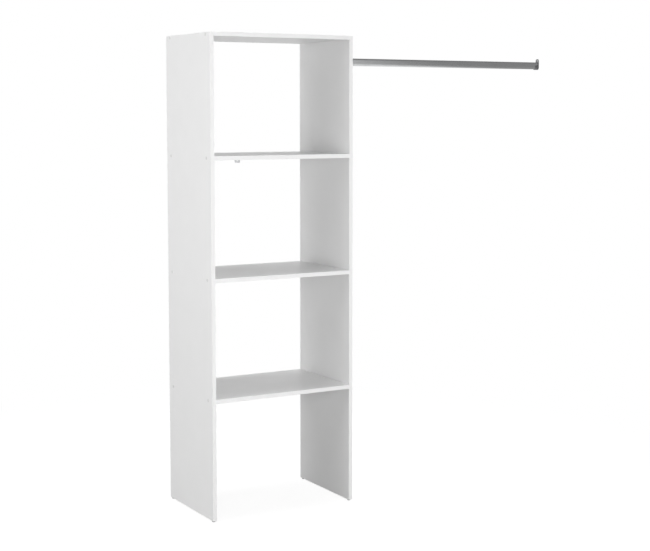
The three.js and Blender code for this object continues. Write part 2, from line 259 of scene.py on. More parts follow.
# Materials
def melamine_faced_board(colours, name, flat):
    """Particle board with white melamine paper pressed on it between pearl-textured plates.
    The eye sees satin white with a broad soft sheen and a faint orange peel, and duller
    foil on the edges. Flat is the direction that the board's wide faces face."""
    material, tree = new_material(name)
    place = add_node(tree, "ShaderNodeTexCoord").outputs["Object"]
    # The pearl grain is about 1.2 mm wide, and is drawn at 9 mm so that it shows
    pearl = add_node(tree, "ShaderNodeTexNoise", {
        "Vector": place, "Scale": 1 / (9 * MM), "Detail": 1.0})
    # Paper tone drifts over a hand's breadth, and wiping leaves smears of some 50 mm
    drift = add_node(tree, "ShaderNodeTexNoise", {
        "Vector": place, "Scale": 1 / (90 * MM), "Detail": 2.0})
    smear = add_node(tree, "ShaderNodeTexNoise", {
        "Vector": place, "Scale": 1 / (50 * MM), "Detail": 5.0, "Roughness": 0.6,
        "Distortion": 0.4})
    tone = add_node(tree, "ShaderNodeMapRange", {"Value": drift, **NOISE_RANGE})
    greyed = share(colours.board, 0.985)
    face = add_node(tree, "ShaderNodeMix", {
        "Factor": tone, "A": greyed, "B": colours.board}, data_type="RGBA")
    # Where the surface is turned more than 60 degrees from the wide faces, it is an edge
    normal = add_node(tree, "ShaderNodeNewGeometry").outputs["True Normal"]
    facing = add_node(tree, "ShaderNodeVectorMath", {
        "Vector": normal, "Vector_001": flat}, operation="DOT_PRODUCT")
    flatness = add_node(tree, "ShaderNodeMath", {"Value": facing}, operation="ABSOLUTE")
    edge = add_node(tree, "ShaderNodeMath", {
        "Value": flatness, "Value_001": 0.5}, operation="LESS_THAN")
    base = add_node(tree, "ShaderNodeMix", {
        "Factor": edge, "A": face, "B": colours.board_edge}, data_type="RGBA")
    satin = add_node(tree, "ShaderNodeMapRange", {
        "Value": smear, **NOISE_RANGE, "To Min": 0.36, "To Max": 0.43})
    foil_rougher_by = 0.14
    rough = add_node(tree, "ShaderNodeMath", {
        "Value": edge, "Value_001": foil_rougher_by, "Value_002": satin},
        operation="MULTIPLY_ADD")
    relief = add_node(tree, "ShaderNodeBump", {
        "Height": pearl, "Distance": 0.12 * MM, "Strength": 1.0})
    board = add_node(tree, "ShaderNodeBsdfPrincipled", {
        "Base Color": base, "Roughness": rough, "IOR": 1.5, "Normal": relief})
    add_node(tree, "ShaderNodeOutputMaterial", {"Surface": board})
    return material


def abs_edge_band(colours, name, along):
    """Extruded ABS strip, hot-glued on and trimmed flush. The eye sees a line smoother and
    brighter than the board's face, with faint drawn lines and a hairline of glue behind it.
    Along is the direction that the strip was drawn in."""
    material, tree = new_material(name)
    place = add_node(tree, "ShaderNodeTexCoord").outputs["Object"]
    # Die lines are about 0.6 mm apart and run on for 400 mm. They're drawn 3 mm apart so
    # that they show
    drawn = add_node(tree, "ShaderNodeVectorMath", {
        "Vector": place, "Vector_001": [3 / 400 if a else 1 for a in along]},
        operation="MULTIPLY")
    lines = add_node(tree, "ShaderNodeTexNoise", {
        "Vector": drawn, "Scale": 1 / (3 * MM), "Detail": 3.0})
    depth = add_node(tree, "ShaderNodeSeparateXYZ", {"Vector": place}).outputs["Y"]
    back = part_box(UPRIGHT_BANDS[0])[1].y
    # The glue line is about 0.1 mm thick and is drawn at 0.25 mm
    glue = add_node(tree, "ShaderNodeMath", {
        "Value": depth, "Value_001": back - 0.25 * MM}, operation="GREATER_THAN")
    base = add_node(tree, "ShaderNodeMix", {
        "Factor": glue, "A": colours.band, "B": colours.glue_line}, data_type="RGBA")
    rough = add_node(tree, "ShaderNodeMapRange", {
        "Value": lines, **NOISE_RANGE, "To Min": 0.25, "To Max": 0.35})
    relief = add_node(tree, "ShaderNodeBump", {
        "Height": lines, "Distance": 0.02 * MM, "Strength": 1.0})
    strip = add_node(tree, "ShaderNodeBsdfPrincipled", {
        "Base Color": base, "Roughness": rough, "IOR": 1.52, "Normal": relief})
    add_node(tree, "ShaderNodeOutputMaterial", {"Surface": strip})
    return material


def moulded_polyethylene(name, colour, roughness):
    """Injection-moulded polyethylene. The eye sees one even, slightly waxy tone with a fine
    spark-eroded grain, smoother where it has been rubbed."""
    material, tree = new_material(name)
    place = add_node(tree, "ShaderNodeTexCoord").outputs["Object"]
    # Spark erosion leaves pits of 0.2 mm, drawn at 0.5 mm. Rubbed patches are some 3 mm wide
    pits = add_node(tree, "ShaderNodeTexNoise", {
        "Vector": place, "Scale": 1 / (0.5 * MM), "Detail": 2.0})
    rubbed = add_node(tree, "ShaderNodeTexNoise", {
        "Vector": place, "Scale": 1 / (3 * MM), "Detail": 3.0})
    worn = add_node(tree, "ShaderNodeMapRange", {"Value": rubbed, **NOISE_RANGE})
    dusty = share(colour, 0.96)
    base = add_node(tree, "ShaderNodeMix", {
        "Factor": worn, "A": dusty, "B": colour}, data_type="RGBA")
    rough = add_node(tree, "ShaderNodeMapRange", {
        "Value": worn, "To Min": roughness + 0.05, "To Max": roughness - 0.05})
    relief = add_node(tree, "ShaderNodeBump", {
        "Height": pits, "Distance": 0.012 * MM, "Strength": 1.0})
    plastic = add_node(tree, "ShaderNodeBsdfPrincipled", {
        "Base Color": base, "Roughness": rough, "IOR": 1.51, "Normal": relief})
    add_node(tree, "ShaderNodeOutputMaterial", {"Surface": plastic})
    return material


def chrome_plated_tube(colours):
    """Steel tube, drawn, polished and chrome plated. The eye sees a soft mirror with faint
    polishing lines along it, and duller stretches where hangers have slid."""
    material, tree = new_material("chrome_plated_tube")
    place = add_node(tree, "ShaderNodeTexCoord").outputs["Object"]
    # Polishing lines are 0.3 mm apart and 100 mm long. They're drawn 1.5 mm apart so that
    # they show
    drawn = add_node(tree, "ShaderNodeVectorMath", {
        "Vector": place, "Vector_001": (1.5 / 100, 1, 1)}, operation="MULTIPLY")
    lines = add_node(tree, "ShaderNodeTexNoise", {
        "Vector": drawn, "Scale": 1 / (1.5 * MM), "Detail": 4.0})
    # Hangers slide over stretches of some 60 mm. Less of the rail is dulled than left bright
    slid = add_node(tree, "ShaderNodeTexNoise", {
        "Vector": place, "Scale": 1 / (60 * MM), "Detail": 3.0})
    dull = add_node(tree, "ShaderNodeMapRange", {
        "Value": slid, "From Min": 0.45, "From Max": 0.7})
    dulled = share(colours.chrome, 0.93)
    base = add_node(tree, "ShaderNodeMix", {
        "Factor": dull, "A": colours.chrome, "B": dulled}, data_type="RGBA")
    brushed = add_node(tree, "ShaderNodeMapRange", {
        "Value": lines, **NOISE_RANGE, "To Min": 0.09, "To Max": 0.15})
    dull_rougher_by = 0.05
    rough = add_node(tree, "ShaderNodeMath", {
        "Value": dull, "Value_001": dull_rougher_by, "Value_002": brushed},
        operation="MULTIPLY_ADD")
    relief = add_node(tree, "ShaderNodeBump", {
        "Height": lines, "Distance": 0.006 * MM, "Strength": 1.0})
    chrome = add_node(tree, "ShaderNodeBsdfPrincipled", {
        "Base Color": base, "Metallic": 1.0, "Roughness": rough, "Normal": relief})
    add_node(tree, "ShaderNodeOutputMaterial", {"Surface": chrome})
    return material


def chromed_zinc_casting(colours):
    """Zinc, die-cast, tumbled and thinly chromed. The eye sees a wavier mirror than the tube,
    for the casting skin shows through the plate, with brighter rubbed spots. It is darker
    than the tube partly as thin chrome on a casting is duller, and partly as painted shade:
    its colour is set dark to stand for the dark reflection that the brackets show."""
    material, tree = new_material("chromed_zinc_casting")
    place = add_node(tree, "ShaderNodeTexCoord").outputs["Object"]
    # The casting skin has waves of 2.5 mm, and tumbling leaves marks of 0.5 mm
    waves = add_node(tree, "ShaderNodeTexNoise", {
        "Vector": place, "Scale": 1 / (2.5 * MM), "Detail": 1.0})
    marks = add_node(tree, "ShaderNodeTexNoise", {
        "Vector": place, "Scale": 1 / (0.5 * MM), "Detail": 3.0})
    skin = add_node(tree, "ShaderNodeMapRange", {"Value": waves, **NOISE_RANGE})
    # The casting colour is set dark partly as painted shade, and the skin's hollows are a little
    # darker still
    hollows = share(colours.casting, 0.9)
    base = add_node(tree, "ShaderNodeMix", {
        "Factor": skin, "A": hollows, "B": colours.casting}, data_type="RGBA")
    rough = add_node(tree, "ShaderNodeMapRange", {
        "Value": marks, **NOISE_RANGE, "To Min": 0.18, "To Max": 0.28})
    relief = add_node(tree, "ShaderNodeBump", {
        "Height": waves, "Distance": 0.04 * MM, "Strength": 1.0})
    chrome = add_node(tree, "ShaderNodeBsdfPrincipled", {
        "Base Color": base, "Metallic": 1.0, "Roughness": rough, "Normal": relief})
    add_node(tree, "ShaderNodeOutputMaterial", {"Surface": chrome})
    return material


def bright_metal(name, colour, roughness, stretch):
    """Steel, rolled, turned or drawn, then zinc plated or left bright. The eye sees a cool
    grey, cloudy from passivation, with fine marks of the tool along the given stretch."""
    material, tree = new_material(name)
    place = add_node(tree, "ShaderNodeTexCoord").outputs["Object"]
    # Passivation clouds are 4 mm wide. Tool marks are 0.1 mm apart, drawn at 0.4 mm
    clouds = add_node(tree, "ShaderNodeTexNoise", {
        "Vector": place, "Scale": 1 / (4 * MM), "Detail": 3.0})
    drawn = add_node(tree, "ShaderNodeVectorMath", {
        "Vector": place, "Vector_001": stretch}, operation="MULTIPLY")
    marks = add_node(tree, "ShaderNodeTexNoise", {
        "Vector": drawn, "Scale": 1 / (0.4 * MM), "Detail": 2.0})
    cloud = add_node(tree, "ShaderNodeMapRange", {"Value": clouds, **NOISE_RANGE})
    clouded = share(colour, 0.88)
    base = add_node(tree, "ShaderNodeMix", {
        "Factor": cloud, "A": clouded, "B": colour}, data_type="RGBA")
    rough = add_node(tree, "ShaderNodeMapRange", {
        "Value": cloud, "To Min": roughness + 0.06, "To Max": roughness - 0.04})
    relief = add_node(tree, "ShaderNodeBump", {
        "Height": marks, "Distance": 0.01 * MM, "Strength": 1.0})
    metal = add_node(tree, "ShaderNodeBsdfPrincipled", {
        "Base Color": base, "Metallic": 1.0, "Roughness": rough, "Normal": relief})
    add_node(tree, "ShaderNodeOutputMaterial", {"Surface": metal})
    return material


# Outlines and meshes
def rounded(corners, steps, closed=False):
    """An outline's points, from corners of (across, up, radius), with each radius as an arc."""
    points = []
    for i, (x, y, radius) in enumerate(corners):
        corner = Vector((x, y))
        if radius == 0 or (not closed and i in (0, len(corners) - 1)):
            points.append(corner)
            continue
        before = (Vector(corners[i - 1][:2]) - corner).normalized()
        after = (Vector(corners[(i + 1) % len(corners)][:2]) - corner).normalized()
        half = before.angle(after) / 2
        centre = corner + (before + after).normalized() * radius / math.sin(half)
        start = corner + before * radius / math.tan(half) - centre
        turn = start.angle_signed(corner + after * radius / math.tan(half) - centre)
        points += [centre + Matrix.Rotation(-turn * k / steps, 2) @ start
                   for k in range(steps + 1)]
    return points


def slot_outline(radius, low, high, steps):
    """An upright slot: two half circles joined by straight sides, anticlockwise."""
    arc = [math.pi * k / steps for k in range(steps + 1)]
    over = [Vector((radius * math.cos(a), high + radius * math.sin(a))) for a in arc]
    under = [Vector((-radius * math.cos(a), low - radius * math.sin(a))) for a in arc]
    return over + under


def turned(profile, steps):
    """A closed bmesh turned about Z from (radius, height) points, whose ends lie on the axis."""
    bm = bmesh.new()
    rings = []
    for radius, height in profile:
        angles = [2 * math.pi * k / steps for k in range(steps if radius else 1)]
        rings.append([bm.verts.new((radius * math.cos(a), radius * math.sin(a), height))
                      for a in angles])
    for lower, upper in zip(rings, rings[1:]):
        for k in range(steps):
            corners = [lower[k % len(lower)], lower[(k + 1) % len(lower)],
                       upper[(k + 1) % len(upper)], upper[k % len(upper)]]
            bm.faces.new(dict.fromkeys(corners))
    return bm


def extruded(outline, depth, hole=None):
    """A closed bmesh: an outline in X and Y, with or without a hole, extruded along Z."""
    bm = bmesh.new()
    loops = [[[bm.verts.new((p.x, p.y, z)) for p in points] for z in (0, depth)]
             for points in filter(None, (outline, hole))]
    for low, high in loops:
        for k in range(len(low)):
            bm.faces.new((low[k - 1], low[k], high[k], high[k - 1]))
    for end in (0, 1):
        if hole:
            outer, inner = loops[0][end], loops[1][end]
            for k in range(len(outer)):
                bm.faces.new((outer[k - 1], outer[k], inner[k], inner[k - 1]))
        else:
            bm.faces.new(loops[0][end])
    return bm


def as_object(name, bm, placement=Matrix.Identity(4)):
    """A scene object from a bmesh, with its place in its mesh."""
    bm.transform(placement)
    bmesh.ops.recalc_face_normals(bm, faces=bm.faces)
    mesh = bpy.data.meshes.new(name)
    bm.to_mesh(mesh)
    bm.free()
    made = bpy.data.objects.new(name, mesh)
    bpy.context.scene.collection.objects.link(made)
    return made


def combine(target, tool, operation):
    """Joins, cuts or crosses the target with the tool, which is used up."""
    step = target.modifiers.new(operation, "BOOLEAN")
    step.operation = operation
    step.object = tool
    step.solver = "EXACT"
    bake_modifiers(target)
    bpy.data.objects.remove(tool)


def bake_modifiers(target):
    """Applies the modifiers and drops faces and edges without any size."""
    bpy.context.view_layer.update()
    evaluated = target.evaluated_get(bpy.context.evaluated_depsgraph_get())
    baked = bpy.data.meshes.new_from_object(evaluated)
    target.modifiers.clear()
    target.data = baked
    bm = bmesh.new()
    bm.from_mesh(baked)
    bmesh.ops.dissolve_degenerate(bm, dist=NO_LENGTH, edges=bm.edges)
    bm.to_mesh(baked)
    bm.free()


def soften(target, width, steps):
    """Rounds every edge of the target but the shallow ones."""
    merge = target.modifiers.new("merge", "WELD")
    merge.merge_threshold = ONE_POINT
    edge = target.modifiers.new("soften", "BEVEL")
    edge.width = width
    edge.segments = steps
    edge.limit_method = "ANGLE"
    edge.angle_limit = ROUNDED_FROM
    edge.use_clamp_overlap = True
    bake_modifiers(target)


def finish_piece(piece, node, material):
    """Smooths a piece but for its sharp edges and puts it in its node's place."""
    piece.data.shade_smooth()
    piece.data.set_sharp_from_angle(angle=SHARP_FROM)
    piece.data.materials.clear()
    piece.data.materials.append(material)
    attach(piece, "root")
    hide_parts(node)


def dress(nodes, material):
    """Gives the frame's own nodes a material, all over."""
    for name in nodes:
        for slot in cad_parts[name].material_slots:
            slot.material = material


def centre_of(node):
    """The centre of a node's box."""
    low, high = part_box(node)
    return (low + high) / 2


def pointing(direction, place):
    """Local +Z turned to a direction along X or Z, at a place."""
    turn = Vector(direction).to_track_quat("Z", "Y").to_matrix().to_4x4()
    return Matrix.Translation(place) @ turn


def copy_piece(piece, name, placement):
    """A copy of a piece, with its new place in its mesh."""
    made = piece.copy()
    made.data = piece.data.copy()
    made.name = name
    made.data.transform(placement)
    bpy.context.scene.collection.objects.link(made)
    return made


# Pieces
def small_screw(sizes, name, node, direction):
    """A countersunk screw with a cross recess. Its head is flush, facing the direction."""
    low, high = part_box(node)
    extent = high - low
    length = abs(extent.dot(Vector(direction)))
    head = max(v for v in extent if v < length) / 2
    shank = sizes.screw_shank / 2
    rim = sizes.screw_head_rim
    cone = rim + head - shank
    profile = [(0, 0, 0), (head, 0, SCREW_RIM_ROUND), (head, -rim, 0),
               (shank, -cone, SCREW_NECK_ROUND), (shank, -length * SCREW_POINT_FROM, 0),
               (SCREW_TIP, -length, 0), (0, -length, 0)]
    points = [(max(p.x, 0), p.y) for p in rounded(profile, sizes.arc_steps)]
    screw = as_object(name, turned(points, sizes.turn_steps))
    combine(screw, cross_recess(sizes), "DIFFERENCE")
    outer = centre_of(node) + Vector(direction) * length / 2
    screw.data.transform(pointing(direction, outer))
    return screw


def cross_recess(sizes):
    """The cross-shaped hollow in a screw head, wider at its mouth."""
    bm = bmesh.new()
    rings = []
    for height, span, width in ((sizes.recess_depth, 1, 1), (0, 1, 1),
                                (-sizes.recess_depth, RECESS_FLOOR_SPAN, RECESS_FLOOR_WIDTH)):
        arm, half = sizes.recess_span / 2 * span, sizes.recess_width / 2 * width
        quarter = [Vector(corner) for corner in ((arm, -half), (arm, half), (half, half))]
        rings.append([bm.verts.new((*(Matrix.Rotation(math.pi / 2 * k, 2) @ corner), height))
                      for k in range(4) for corner in quarter])
    for lower, upper in zip(rings, rings[1:]):
        for k in range(len(lower)):
            bm.faces.new((lower[k - 1], lower[k], upper[k], upper[k - 1]))
    bm.faces.new(rings[0])
    bm.faces.new(rings[-1])
    return as_object("cross_recess", bm)


def screw_hole(sizes, head, length):
    """The countersunk hole of a small screw: its mouth at the origin, its end towards -Z."""
    head += sizes.screw_fit
    shank = sizes.screw_shank / 2 + sizes.screw_fit
    cone = sizes.screw_head_rim + head - shank
    profile = [(0, length), (head, length), (head, -sizes.screw_head_rim), (shank, -cone),
               (shank, -length), (0, -length)]
    return turned(profile, sizes.turn_steps)


def rail_bracket(sizes):
    """A rail bracket in its own place: plate on X = 0, tube centre on the X axis, reaching
    along +X."""
    tube_low, tube_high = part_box("hanging_rail")
    low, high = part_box("rail_bracket_column")
    tube_radius = (tube_high.y - tube_low.y) / 2
    straight = (tube_high.z - tube_low.z) / 2 - tube_radius
    inner = tube_radius + sizes.bracket_fit
    outer = inner + sizes.bracket_wall
    ear = high.z - centre_of("hanging_rail").z
    reach = high.x - low.x
    steps = sizes.turn_steps // 2
    facing = Matrix(((0, 0, 1, 0), (1, 0, 0, 0), (0, 1, 0, 0), (0, 0, 0, 1)))

    plate = extruded(slot_outline(outer, -straight, ear - outer, steps), sizes.bracket_plate)
    bracket = as_object("rail_bracket", plate, facing)
    arc = [math.pi * k / steps for k in range(steps + 1)]
    bowl = [Vector((-outer * math.cos(a), -straight - outer * math.sin(a))) for a in arc]
    hollow = [Vector((inner * math.cos(a), -straight - inner * math.sin(a))) for a in arc]
    top = sizes.cradle_shoulder
    outline = ([Vector((-outer, top))] + bowl + [Vector((outer, top)), Vector((inner, top))]
               + hollow + [Vector((-inner, top))])
    combine(bracket, as_object("cradle", extruded(outline, reach), facing), "UNION")

    # The cradle's walls fall away from the plate in a curve
    start, end = sizes.bracket_plate, reach
    fall = [k / sizes.arc_steps for k in range(sizes.arc_steps + 1)]
    curve = [Vector((start + (end - start) * t * t,
                     top + (sizes.cradle_lip - top) * (1 - (1 - t) ** 2))) for t in fall]
    spare = sizes.bracket_wall
    sweep = curve + [Vector((end + spare, sizes.cradle_lip)),
                     Vector((end + spare, top + spare)), Vector((start, top + spare))]
    across = Matrix(((1, 0, 0, 0), (0, 0, -1, outer + spare), (0, 1, 0, 0), (0, 0, 0, 1)))
    cut = as_object("sweep", extruded(sweep, 2 * (outer + spare)), across)
    combine(bracket, cut, "DIFFERENCE")

    screw_low, screw_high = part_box("bracket_screw_ear")
    head = (screw_high.z - screw_low.z) / 2
    for height in (ear - sizes.hole_margin, -straight):
        mouth = pointing((1, 0, 0), (sizes.bracket_plate, 0, height))
        hole = as_object("screw_hole", screw_hole(sizes, head, reach), mouth)
        combine(bracket, hole, "DIFFERENCE")
    soften(bracket, sizes.casting_round, steps=3)
    return bracket


def leg_outline(sizes):
    """One leg of the wall angle seen square on, free end down, from the fold at the origin."""
    low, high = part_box("wall_angle")
    half, leg = (high.x - low.x) / 2, high.z - low.z
    spare, corner = sizes.angle_metal, sizes.angle_corner
    corners = [(half, spare, 0), (-half, spare, 0), (-half, -leg, corner),
               (half, -leg, corner)]
    return rounded(corners, sizes.arc_steps, closed=True)


# Operators
class WardrobeOperator(Operator):
    """Shared settings of the column's operators"""
    bl_options = {"REGISTER", "UNDO"}


class WARDROBE_OT_boards(WardrobeOperator):
    """Gives the side panels, top and shelves their melamine faces"""
    bl_idname = "wardrobe.boards"
    bl_label = "Boards"

    def execute(self, context):
        colours = context.scene.wardrobe_colours
        upright = melamine_faced_board(colours, "melamine_faced_board_upright", (1, 0, 0))
        level = melamine_faced_board(colours, "melamine_faced_board_level", (0, 0, 1))
        dress(SIDES, upright)
        dress(LEVEL_BOARDS, level)
        return {"FINISHED"}


class WARDROBE_OT_edge_bands(WardrobeOperator):
    """Gives the front edges their extruded bands"""
    bl_idname = "wardrobe.edge_bands"
    bl_label = "Edge Bands"

    def execute(self, context):
        colours = context.scene.wardrobe_colours
        dress(UPRIGHT_BANDS, abs_edge_band(colours, "abs_edge_band_upright", (0, 0, 1)))
        dress(LEVEL_BANDS, abs_edge_band(colours, "abs_edge_band_level", (1, 0, 0)))
        return {"FINISHED"}


class WARDROBE_OT_joint_screws(WardrobeOperator):
    """Gives the joint screws their zinc plate and the nails in the glides their bright steel"""
    bl_idname = "wardrobe.joint_screws"
    bl_label = "Joint Screws and Nails"

    def execute(self, context):
        colours = context.scene.wardrobe_colours
        dress(JOINT_SCREWS, bright_metal("zinc_plated_joint_screw", colours.zinc,
                                         roughness=0.3, stretch=(1, 0.1, 0.1)))
        dress(NAILS, bright_metal("drawn_wire_nail", colours.steel,
                                  roughness=0.4, stretch=(1, 1, 0.05)))
        return {"FINISHED"}


class WARDROBE_OT_screw_caps(WardrobeOperator):
    """Makes a domed cover cap over each joint screw"""
    bl_idname = "wardrobe.screw_caps"
    bl_label = "Screw Caps"

    def execute(self, context):
        colours, sizes = context.scene.wardrobe_colours, context.scene.wardrobe_sizes
        material = moulded_polyethylene("moulded_screw_cap", colours.cap, roughness=0.45)
        low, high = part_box(CAPS[0])
        radius, peg_end = (high.z - low.z) / 2, high.x - low.x - sizes.cap_rise
        steps, crown = sizes.arc_steps, sizes.cap_rise - sizes.cap_rim
        arc = [math.pi / 2 * k / steps for k in range(1, steps + 1)]
        dome = [(radius * math.sin(a), sizes.cap_rim + crown * math.cos(a)) for a in arc]
        profile = [(0, sizes.cap_rise), *dome, (radius, 0), (sizes.cap_peg, 0),
                   (sizes.cap_peg, -peg_end), (0, -peg_end)]
        for node in CAPS:
            direction = -1 if "_left_" in node else 1
            low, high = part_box(node)
            seat = (low.x if direction < 0 else high.x) - direction * sizes.cap_rise
            centre = centre_of(node)
            placement = pointing((direction, 0, 0), (seat, centre.y, centre.z))
            cap = as_object(f"{node}_dome", turned(profile, sizes.turn_steps), placement)
            finish_piece(cap, node, material)
        return {"FINISHED"}


class WARDROBE_OT_hanging_rail(WardrobeOperator):
    """Makes the oval rail as a smooth open tube"""
    bl_idname = "wardrobe.hanging_rail"
    bl_label = "Hanging Rail"

    def execute(self, context):
        sizes = context.scene.wardrobe_sizes
        low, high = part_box("hanging_rail")
        radius = (high.y - low.y) / 2
        straight = (high.z - low.z) / 2 - radius
        steps = sizes.turn_steps // 2
        tube = extruded(slot_outline(radius, -straight, straight, steps), high.x - low.x,
                        hole=slot_outline(radius - sizes.tube_wall, -straight, straight, steps))
        centre = centre_of("hanging_rail")
        along = Matrix(((0, 0, 1, low.x), (1, 0, 0, centre.y), (0, 1, 0, centre.z),
                        (0, 0, 0, 1)))
        rail = as_object("hanging_rail_tube", tube, along)
        material = chrome_plated_tube(context.scene.wardrobe_colours)
        finish_piece(rail, "hanging_rail", material)
        return {"FINISHED"}


class WARDROBE_OT_rail_brackets(WardrobeOperator):
    """Makes the two cast brackets that carry the rail"""
    bl_idname = "wardrobe.rail_brackets"
    bl_label = "Rail Brackets"

    def execute(self, context):
        material = chromed_zinc_casting(context.scene.wardrobe_colours)
        first = rail_bracket(context.scene.wardrobe_sizes)
        centre = centre_of("hanging_rail")
        ends = [("rail_bracket_column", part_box("rail_bracket_column")[0].x, 0),
                ("rail_bracket_wall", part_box("rail_bracket_wall")[1].x, math.pi)]
        for node, face, turn in ends:
            place = Matrix.Translation((face, centre.y, centre.z))
            casting = copy_piece(first, f"{node}_casting", place @ Matrix.Rotation(turn, 4, "Z"))
            finish_piece(casting, node, material)
        bpy.data.objects.remove(first)
        return {"FINISHED"}


class WARDROBE_OT_small_screws(WardrobeOperator):
    """Makes the countersunk screws of the bracket and the angle"""
    bl_idname = "wardrobe.small_screws"
    bl_label = "Small Screws"

    def execute(self, context):
        colours, sizes = context.scene.wardrobe_colours, context.scene.wardrobe_sizes
        material = bright_metal("zinc_plated_screw", colours.zinc,
                                roughness=0.3, stretch=(0.1, 1, 1))
        facings = {"bracket_screw_ear": (1, 0, 0), "bracket_screw_cradle": (1, 0, 0),
                   "wall_angle_screw": (0, 0, -1)}
        for node, direction in facings.items():
            screw = small_screw(sizes, f"{node}_cross_head", node, direction)
            finish_piece(screw, node, material)
        return {"FINISHED"}


class WARDROBE_OT_wall_angle(WardrobeOperator):
    """Makes the folded angle under the upper shelf"""
    bl_idname = "wardrobe.wall_angle"
    bl_label = "Wall Angle"

    def execute(self, context):
        colours, sizes = context.scene.wardrobe_colours, context.scene.wardrobe_sizes
        low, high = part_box("wall_angle")
        leg, width, metal = high.z - low.z, high.x - low.x, sizes.angle_metal
        fold = Vector(((low.x + high.x) / 2, high.y, high.z))
        bend = sizes.angle_bend
        corners = [(0, -leg, 0), (0, 0, bend), (-leg, 0, 0), (-leg, -metal, 0),
                   (-metal, -metal, bend - metal), (-metal, -leg, 0)]
        profile = rounded(corners, sizes.arc_steps, closed=True)
        lengthways = Matrix(((0, 0, 1, fold.x - width / 2), (1, 0, 0, fold.y),
                             (0, 1, 0, fold.z), (0, 0, 0, 1)))
        angle = as_object("wall_angle_pressing", extruded(profile, width), lengthways)
        outline = leg_outline(sizes)
        through = leg + 2 * metal
        front = Matrix(((1, 0, 0, fold.x), (0, 0, -1, fold.y + metal), (0, 1, 0, fold.z),
                        (0, 0, 0, 1)))
        plan = Matrix(((1, 0, 0, fold.x), (0, 1, 0, fold.y),
                       (0, 0, 1, fold.z - through + metal), (0, 0, 0, 1)))
        for placement in (front, plan):
            leg_block = as_object("leg", extruded(outline, through), placement)
            combine(angle, leg_block, "INTERSECT")
        hole = slot_outline(sizes.angle_hole / 2, -sizes.angle_hole_drop,
                            -sizes.angle_hole_drop, sizes.turn_steps // 2)
        combine(angle, as_object("hole", extruded(hole, through), front), "DIFFERENCE")
        screw_low, screw_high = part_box("wall_angle_screw")
        head = (screw_high.y - screw_low.y) / 2
        centre = centre_of("wall_angle_screw")
        mouth = pointing((0, 0, -1), (centre.x, centre.y, high.z - metal))
        sunk = as_object("screw_hole", screw_hole(sizes, head, leg), mouth)
        combine(angle, sunk, "DIFFERENCE")
        soften(angle, sizes.angle_edge, steps=2)
        material = bright_metal("zinc_plated_angle", colours.zinc,
                                roughness=0.36, stretch=(0.05, 1, 1))
        finish_piece(angle, "wall_angle", material)
        return {"FINISHED"}


class WARDROBE_OT_glides(WardrobeOperator):
    """Makes the moulded glides under the side panels"""
    bl_idname = "wardrobe.glides"
    bl_label = "Glides"

    def execute(self, context):
        colours, sizes = context.scene.wardrobe_colours, context.scene.wardrobe_sizes
        material = moulded_polyethylene("moulded_glide", colours.glide, roughness=0.5)
        low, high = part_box(GLIDES[0])
        nail_low, nail_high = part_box(NAILS[0])
        radius, height, sole = (high.y - low.y) / 2, high.z - low.z, sizes.glide_sole
        # The nail's head lies in a pocket above the sole, and its wire goes up through a bore
        pocket = (nail_high.y - nail_low.y) / 2 + sizes.nail_fit
        bore = sizes.nail_wire / 2 + sizes.nail_fit
        roof = sole + sizes.nail_head + 2 * sizes.nail_fit
        profile = [(0, 0, 0), (radius, 0, sizes.glide_round),
                   (radius, height, GLIDE_TOP_ROUND), (bore, height, 0), (bore, roof, 0),
                   (pocket, roof, 0), (pocket, sole, 0), (0, sole, 0)]
        points = [(max(p.x, 0), p.y) for p in rounded(profile, sizes.arc_steps)]
        for node in GLIDES:
            centre, foot = centre_of(node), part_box(node)[0].z
            glide = as_object(f"{node}_moulding", turned(points, sizes.turn_steps),
                              Matrix.Translation((centre.x, centre.y, foot)))
            finish_piece(glide, node, material)
        return {"FINISHED"}


# Studio
def seen_or_mirrored(tree):
    """1 for what the camera, a reflection or a view through glass shows, 0 for other light."""
    path = add_node(tree, "ShaderNodeLightPath").outputs
    either = add_node(tree, "ShaderNodeMath", {
        "Value": path["Is Camera Ray"], "Value_001": path["Is Glossy Ray"]},
        operation="MAXIMUM")
    return add_node(tree, "ShaderNodeMath", {
        "Value": either, "Value_001": path["Is Transmission Ray"]}, operation="MAXIMUM")


def white_paper_sweep(studio, centre):
    """Matt paper. The light it throws back at the object has the tone of the paper setting.
    It is seen as white that keeps the object's soft shadow, and fades to the surround's
    white away from it."""
    material, tree = new_material("white_paper_sweep")
    place = add_node(tree, "ShaderNodeTexCoord").outputs["Object"]
    away = add_node(tree, "ShaderNodeVectorMath", {
        "Vector": place, "Vector_001": centre}, operation="DISTANCE")
    far = add_node(tree, "ShaderNodeMapRange", {
        "Value": away, "From Min": FADE_START, "From Max": FADE_END},
        interpolation_type="SMOOTHSTEP")
    # Paper fibre gathers in flocks of about 2 mm
    flocks = add_node(tree, "ShaderNodeTexNoise", {
        "Vector": place, "Scale": 1 / (2 * MM), "Detail": 3.0})
    between_flocks = share(studio.paper, 0.97)
    paper = add_node(tree, "ShaderNodeMix", {
        "Factor": flocks, "A": between_flocks, "B": studio.paper}, data_type="RGBA")
    lit = add_node(tree, "ShaderNodeBsdfDiffuse", {"Color": paper})
    shaded = add_node(tree, "ShaderNodeBsdfDiffuse", {"Color": share(WHITE, FLOOR_SHADING)})
    glow = add_node(tree, "ShaderNodeEmission", {"Color": WHITE, "Strength": FLOOR_GLOW})
    white = add_node(tree, "ShaderNodeEmission", {"Color": WHITE, "Strength": 1.0})
    near = add_node(tree, "ShaderNodeAddShader", {"Shader": shaded, "Shader_001": glow})
    seen = add_node(tree, "ShaderNodeMixShader", {
        "Fac": far, "Shader": near, "Shader_001": white})
    floor = add_node(tree, "ShaderNodeMixShader", {
        "Fac": seen_or_mirrored(tree), "Shader": lit, "Shader_001": seen})
    add_node(tree, "ShaderNodeOutputMaterial", {"Surface": floor})
    return material


